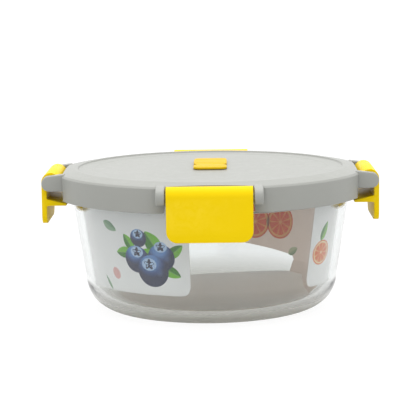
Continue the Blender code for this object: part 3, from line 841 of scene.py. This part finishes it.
def floor_edge(azimuth):
    """The floor panel's edge: a circle pushed to the right, cut straight where the web folds up."""
    across, along = math.sin(math.radians(azimuth)), math.cos(math.radians(azimuth))
    pushed = FLOOR_PANEL_RADIUS + FLOOR_PANEL_RIGHT * across + FLOOR_PANEL_FRONT * along
    radius = min(FLOOR_PANEL_LIMIT - FLOOR_PANEL_LIMIT_FRONT * along, pushed)
    return min(radius, FLOOR_FOLD / across) if across > 0.5 else radius


def floor_point(azimuth, radius):
    """A place on the floor panel, which turns up where it meets the bowl's heel."""
    heel = wall_inside(INNER_HEEL_TOP) - INNER_HEEL_WIDTH
    over = min(1.0, max(0.0, radius - heel + 0.6) / (INNER_HEEL_WIDTH - 0.1))
    height = INNER_HEEL_TOP - (INNER_HEEL_TOP - FLOOR_TOP - 0.7) * math.sqrt(1.0 - over * over)
    turn = math.radians(azimuth)
    return Vector((radius * math.sin(turn), -radius * math.cos(turn), height)) * MM


def flat_grid(columns, rows):
    """A grid from -1 to 1 each way, to be laid in place point by point."""
    bpy.ops.object.select_all(action="DESELECT")
    bpy.ops.mesh.primitive_grid_add(x_subdivisions=columns, y_subdivisions=rows, size=2)
    return bpy.context.object


def card_band():
    """The band on the wall. Its lower corners are round at the free ends."""
    band = flat_grid(298, 40)
    for vertex in band.data.vertices:
        share_x, share_y = (vertex.co.x + 1) / 2, (vertex.co.y + 1) / 2
        azimuth = BAND_START + (BAND_END - BAND_START) * share_x
        from_end = min(azimuth - BAND_START, BAND_END - azimuth) * math.radians(1) * BAND_MIDDLE_RADIUS
        low = CARD_BOTTOM + band_rise(azimuth)
        if from_end < CARD_CORNER and not WEB_START < azimuth < WEB_END:
            left = CARD_CORNER - from_end
            low += CARD_CORNER - math.sqrt(max(0.0, CARD_CORNER ** 2 - left ** 2))
        vertex.co = on_card(azimuth, low + (CARD_TOP - low) * share_y)
    return band


def card_web():
    """The web from the band's lower edge down to the fold of the floor panel."""
    web = flat_grid(72, 8)
    for vertex in web.data.vertices:
        share_x, share_y = (vertex.co.x + 1) / 2, (vertex.co.y + 1) / 2
        azimuth = WEB_START + (WEB_END - WEB_START) * share_x
        fold = floor_point(azimuth, floor_edge(azimuth))
        vertex.co = fold.lerp(on_card(azimuth, CARD_BOTTOM), share_y)
    return web


def card_floor():
    """The panel on the bowl's floor, out to its own edge."""
    bpy.ops.object.select_all(action="DESELECT")
    bpy.ops.mesh.primitive_circle_add(vertices=145, radius=1.0, fill_type="TRIFAN")
    floor = bpy.context.object
    edit(floor)
    bpy.ops.mesh.subdivide(number_cuts=5)
    leave_edit()
    for vertex in floor.data.vertices:
        share = vertex.co.xy.length
        azimuth = math.degrees(math.atan2(vertex.co.x, -vertex.co.y))
        vertex.co = floor_point(azimuth, share * floor_edge(azimuth))
    return floor


def make_card(printed, raw):
    """Band, web and floor panel in one sheet, which gets its thickness towards the inside."""
    card = join([card_band(), card_web(), card_floor()], "printed_card_sheet")
    edit(card)
    bpy.ops.mesh.remove_doubles(threshold=WELD)
    leave_edit()
    card.data.materials.append(printed)
    card.data.materials.append(raw)
    board = card.modifiers.new("board", "SOLIDIFY")
    board.thickness = CARD_THICK * MM
    board.offset = -1.0
    board.material_offset = 1
    board.material_offset_rim = 1
    apply_all(card)
    smooth(card)
    return card


def spread_uv(obj, length, width):
    """Gives each corner of a flat picture its place in the picture, from 0 to 1."""
    layer = obj.data.uv_layers.active
    for loop in obj.data.loops:
        here = obj.data.vertices[loop.vertex_index].co
        layer.data[loop.index].uv = (here.x / length + 0.5, here.y / width + 0.5)


def patch(columns, rows, width_at, length, width):
    """A flat picture blank: a grid whose width follows width_at from end to end."""
    obj = flat_grid(columns, rows)
    for vertex in obj.data.vertices:
        s = math.sin(vertex.co.x * math.pi / 2)
        vertex.co = (s * length / 2, vertex.co.y * width_at(s) * width / 2, 0.0)
    spread_uv(obj, length, width)
    return obj


def rosette(diameter, lobes, depth):
    """A flat picture blank with a lobed edge."""
    bpy.ops.object.select_all(action="DESELECT")
    bpy.ops.mesh.primitive_circle_add(vertices=lobes * 8, radius=1.0, fill_type="TRIFAN")
    obj = bpy.context.object
    for vertex in obj.data.vertices:
        turn = math.atan2(vertex.co.y, vertex.co.x)
        reach = (1.0 + depth * math.cos(lobes * turn)) / (1.0 + depth)
        vertex.co = vertex.co * reach * diameter / 2
    spread_uv(obj, diameter, diameter)
    return obj


def disc_width(s):
    """A round picture's width, from one end (-1) to the other (1), as a share of its greatest."""
    return math.sqrt(max(0.0, 1 - s * s))


def leaf_width(s):
    """A leaf's width in the same way: pointed at both ends and fuller near its stalk."""
    return max(0.0, (1 - s * s)) ** 0.75 * (1.0 - 0.22 * s)


def lay(obj, azimuth, height, turn, layer, inside=False):
    """Turns a flat picture, then lays it on the card's printed or plain side."""
    cosine, sine = math.cos(math.radians(turn)), math.sin(math.radians(turn))
    out = INK_GAP + INK_LAYER * layer
    if inside:
        out = -(CARD_THICK + out)
    around = card_radius(height) * math.radians(1)
    for vertex in obj.data.vertices:
        x = vertex.co.x * cosine - vertex.co.y * sine
        y = vertex.co.x * sine + vertex.co.y * cosine
        vertex.co = on_card(azimuth + x / around, height + y, out)
    return obj


def print_finishes():
    """Each picture's ink on the printed side, and as it shows through on the plain side."""
    inks = {
        "berry": berry_ink, "ring": crown_ring_ink, "star": crown_star_ink,
        "leaf": leaf_ink((0.2, 0.58, 0.03), (0.04, 0.24, 0.01)),
        "soft_leaf": leaf_ink((0.27, 0.45, 0.27), (0.15, 0.32, 0.17)),
        "orange": orange_ink, "raspberry": raspberry_ink,
    }
    seen_behind = {"orange": (0.52, 0.36, 0.2), "soft_leaf": (1.2, 0.85, 0.95)}
    finishes = {}
    for kind, build in inks.items():
        tone = seen_behind.get(kind, (0.6, 0.52, 0.48))
        finishes[kind] = (ink("print_" + kind, build),
                          ink("print_" + kind + "_show_through", build, tone))
    return finishes


def make_pictures():
    """The printed fruit: thin films of ink on both sides of the card, one layer over another."""
    finishes = print_finishes()
    made = []

    def add(kind, shape, length, width, azimuth, height, turn, layer):
        for inside in (False, True):
            if shape is rosette:
                obj = rosette(length, 5, width)
            elif shape is leaf_width:
                obj = patch(20, 6, shape, length, width)
            else:
                obj = patch(24, 16, shape, length, width)
            lay(obj, azimuth, height, turn, layer, inside)
            obj.data.materials.append(finishes[kind][inside])
            made.append(obj)

    # leaves of the berries: azimuth, height, length, width, turn, layer
    for azimuth, height, length, width, turn, layer in (
            (-37.2, 46.4, 10.5, 5.6, 122, 0), (-25.4, 47.3, 14.0, 9.0, 122, 0),
            (-40.2, 40.4, 11.0, 6.4, 184, 0), (-28.2, 41.2, 8.0, 5.0, 172, 1),
            (-15.2, 42.6, 11.0, 5.8, 40, 0), (-17.2, 30.9, 11.0, 6.2, -27, 0)):
        add("leaf", leaf_width, length, width, azimuth, height, turn, layer)
    # berries: azimuth, height, radius, where the crown sits, how large it is, layer
    for azimuth, height, radius, (right, up), crown, layer in (
            (-31.9, 49.2, 5.0, (0.0, 0.45), 0.5, 2), (-33.6, 37.2, 7.6, (0.05, 0.55), 0.42, 4),
            (-21.6, 38.8, 7.6, (0.0, 0.8), 0.4, 6), (-26.0, 31.2, 9.0, (-0.22, 0.4), 0.4, 8)):
        add("berry", disc_width, 2 * radius, 2 * radius, azimuth, height, 0, layer)
        around = card_radius(height) * math.radians(1)
        place = (azimuth + right * radius / around, height + up * radius)
        ring = radius * crown * 2.4
        add("ring", disc_width, ring, ring * 0.82, *place, 0, layer + 0.5)
        add("star", rosette, ring * 0.74, 0.3, *place, 15, layer + 1)
    # scattered near the berries
    add("soft_leaf", leaf_width, 10.5, 5.0, -47.2, 54.4, -25, 0)
    add("raspberry", disc_width, 6.8, 5.2, -46.7, 27.8, 115, 0)
    add("soft_leaf", leaf_width, 9.0, 1.8, -53.0, 21.8, 120, 0)
    # an orange with its leaf at the right end of the band
    add("orange", disc_width, 15.5, 14.0, 57.0, 36.5, 0, 0)
    add("leaf", leaf_width, 11.5, 5.0, 57.5, 48.5, 65, 1)
    # two cut oranges and a leaf at the back
    add("orange", disc_width, 20.0, 20.0, 157.2, 38.6, 0, 1)
    add("orange", disc_width, 20.0, 20.0, 142.6, 39.2, 0, 0)
    add("soft_leaf", leaf_width, 8.5, 4.6, 132.4, 23.0, 150, 0)
    pictures = join(made, "printed_fruit")
    film = pictures.modifiers.new("film", "SOLIDIFY")
    film.thickness = INK_THICK * MM
    film.offset = 0.0
    apply_all(pictures)
    return pictures


# ---------------------------------------------------------------- studio

def make_floor():
    """A plain pale floor, bright by itself, so that it stays even under the object."""
    bpy.ops.object.select_all(action="DESELECT")
    bpy.ops.mesh.primitive_circle_add(vertices=96, radius=30.0, fill_type="NGON",
                                      location=(0, 0, -0.0005))
    floor = bpy.context.object
    floor.name = "studio_floor"
    n = Nodes("pale_floor")
    n.set(Base_Color=n.ramp(n.noise(3.0), (0.3, (0.09, 0.09, 0.09)), (0.7, (0.11, 0.11, 0.11))),
          Roughness=0.9, Specular_IOR_Level=0.1)
    n.set(Emission_Color=(1.0, 1.0, 1.0), Emission_Strength=0.91)
    floor.data.materials.append(n.material)


def make_softbox():
    """One wide lamp high over the lid."""
    place, aim = Vector((0.0, 0.1, 1.5)), Vector((0.0, 0.0, 0.05))
    lamp = bpy.data.lights.new("overhead_softbox", "AREA")
    lamp.shape = "RECTANGLE"
    lamp.size = lamp.size_y = 1.8
    lamp.energy = 22.0
    obj = bpy.data.objects.new("overhead_softbox", lamp)
    bpy.context.scene.collection.objects.link(obj)
    obj.location = place
    obj.rotation_euler = (aim - place).to_track_quat("-Z", "Y").to_euler()


def make_air():
    """Even white light from all round, a trace dimmer and cooler near the horizon."""
    world = bpy.data.worlds.new("studio_air")
    bpy.context.scene.world = world
    world.use_nodes = True
    tree = world.node_tree
    air = tree.nodes["Background"]
    air.inputs["Strength"].default_value = 1.34
    way = tree.nodes.new("ShaderNodeTexCoord")
    split = tree.nodes.new("ShaderNodeSeparateXYZ")
    ramp = tree.nodes.new("ShaderNodeValToRGB")
    tree.links.new(way.outputs["Generated"], split.inputs[0])
    tree.links.new(split.outputs["Z"], ramp.inputs["Fac"])
    tree.links.new(ramp.outputs["Color"], air.inputs["Color"])
    horizon, above = ramp.color_ramp.elements
    horizon.position, horizon.color = 0.02, (0.96, 0.97, 0.98, 1.0)
    above.position, above.color = 0.75, (1.0, 1.0, 1.0, 1.0)


def make_camera():
    """A long lens a metre away and a little above the lid."""
    distance, height = 989.24 * MM, 196.51 * MM
    around, turn = math.radians(0.381), math.radians(0.472)
    down, roll = math.radians(8.09), math.radians(-0.764)
    forward = Vector((-math.sin(turn) * math.cos(down), math.cos(turn) * math.cos(down),
                      -math.sin(down)))
    right = Vector((math.cos(turn), math.sin(turn), 0.0))
    up = right.cross(forward)
    tilted_right = right * math.cos(roll) + up * math.sin(roll)
    tilted_up = up * math.cos(roll) - right * math.sin(roll)
    lens = bpy.data.cameras.new("studio_camera")
    lens.lens = 150.69
    lens.sensor_width = 36.0
    lens.clip_start = 0.05
    camera = bpy.data.objects.new("studio_camera", lens)
    bpy.context.scene.collection.objects.link(camera)
    axes = Matrix((tilted_right, tilted_up, -forward)).transposed().to_4x4()
    place = Vector((distance * math.sin(around), -distance * math.cos(around), height))
    camera.matrix_world = Matrix.Translation(place) @ axes
    bpy.context.scene.camera = camera


def fit(piece, body, slot, *nodes):
    """Puts a finished piece on its body, in place of the frame's plain solids."""
    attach(piece, body)
    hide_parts(*nodes)


make_camera()
make_floor()
make_softbox()
make_air()
bpy.context.scene.view_settings.view_transform = "Standard"

glass = clear_glass("clear_pressed_glass")
grey = moulded_plastic("warm_grey_moulding", (0.268, 0.271, 0.252), (0.255, 0.259, 0.239),
                       worn=(0.35, 0.355, 0.33), rough=0.42, gloss=0.35, flow=18.0)
yellow = moulded_plastic("yellow_moulding", (0.7, 0.495, 0.0015), (0.675, 0.475, 0.001),
                         worn=(0.9, 0.7, 0.1), rough=0.4, gloss=0.06, flow=30.0)
yellow_rubber = silicone("yellow_silicone", (0.555, 0.36, 0.004), (0.535, 0.345, 0.003), 0.5)
clear_rubber = silicone("clear_silicone", (0.8, 0.8, 0.78), (0.74, 0.74, 0.72), 0.45, 0.25)
printed = card_board("coated_card_front", (0.96, 0.96, 0.95), (0.94, 0.94, 0.93), 0.5, 0.25, 0.0)
raw = card_board("grey_card_back", (0.74, 0.65, 0.595), (0.69, 0.6, 0.55), 0.75, 0.3, 0.5)

fit(make_bowl(glass), "container", "clear_glass", "glass_bowl")
lid = make_lid(grey)
fit(lid, "lid", "grey_plastic", "lid")
fit(make_seal(clear_rubber), "lid", "clear_silicone", "seal_ring")
for side, clip in make_clips(yellow).items():
    fit(clip, "clip_" + side, "yellow_plastic", "clip_" + side)
anchor, flap = make_vent(yellow_rubber)
fit(anchor, "lid", "yellow_silicone", "vent_anchor")
fit(flap, "vent_flap", "yellow_silicone", "vent_flap")

fit(make_card(printed, raw), "container", "printed_card", "paper_insert")
pictures = make_pictures()
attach(pictures, "container")
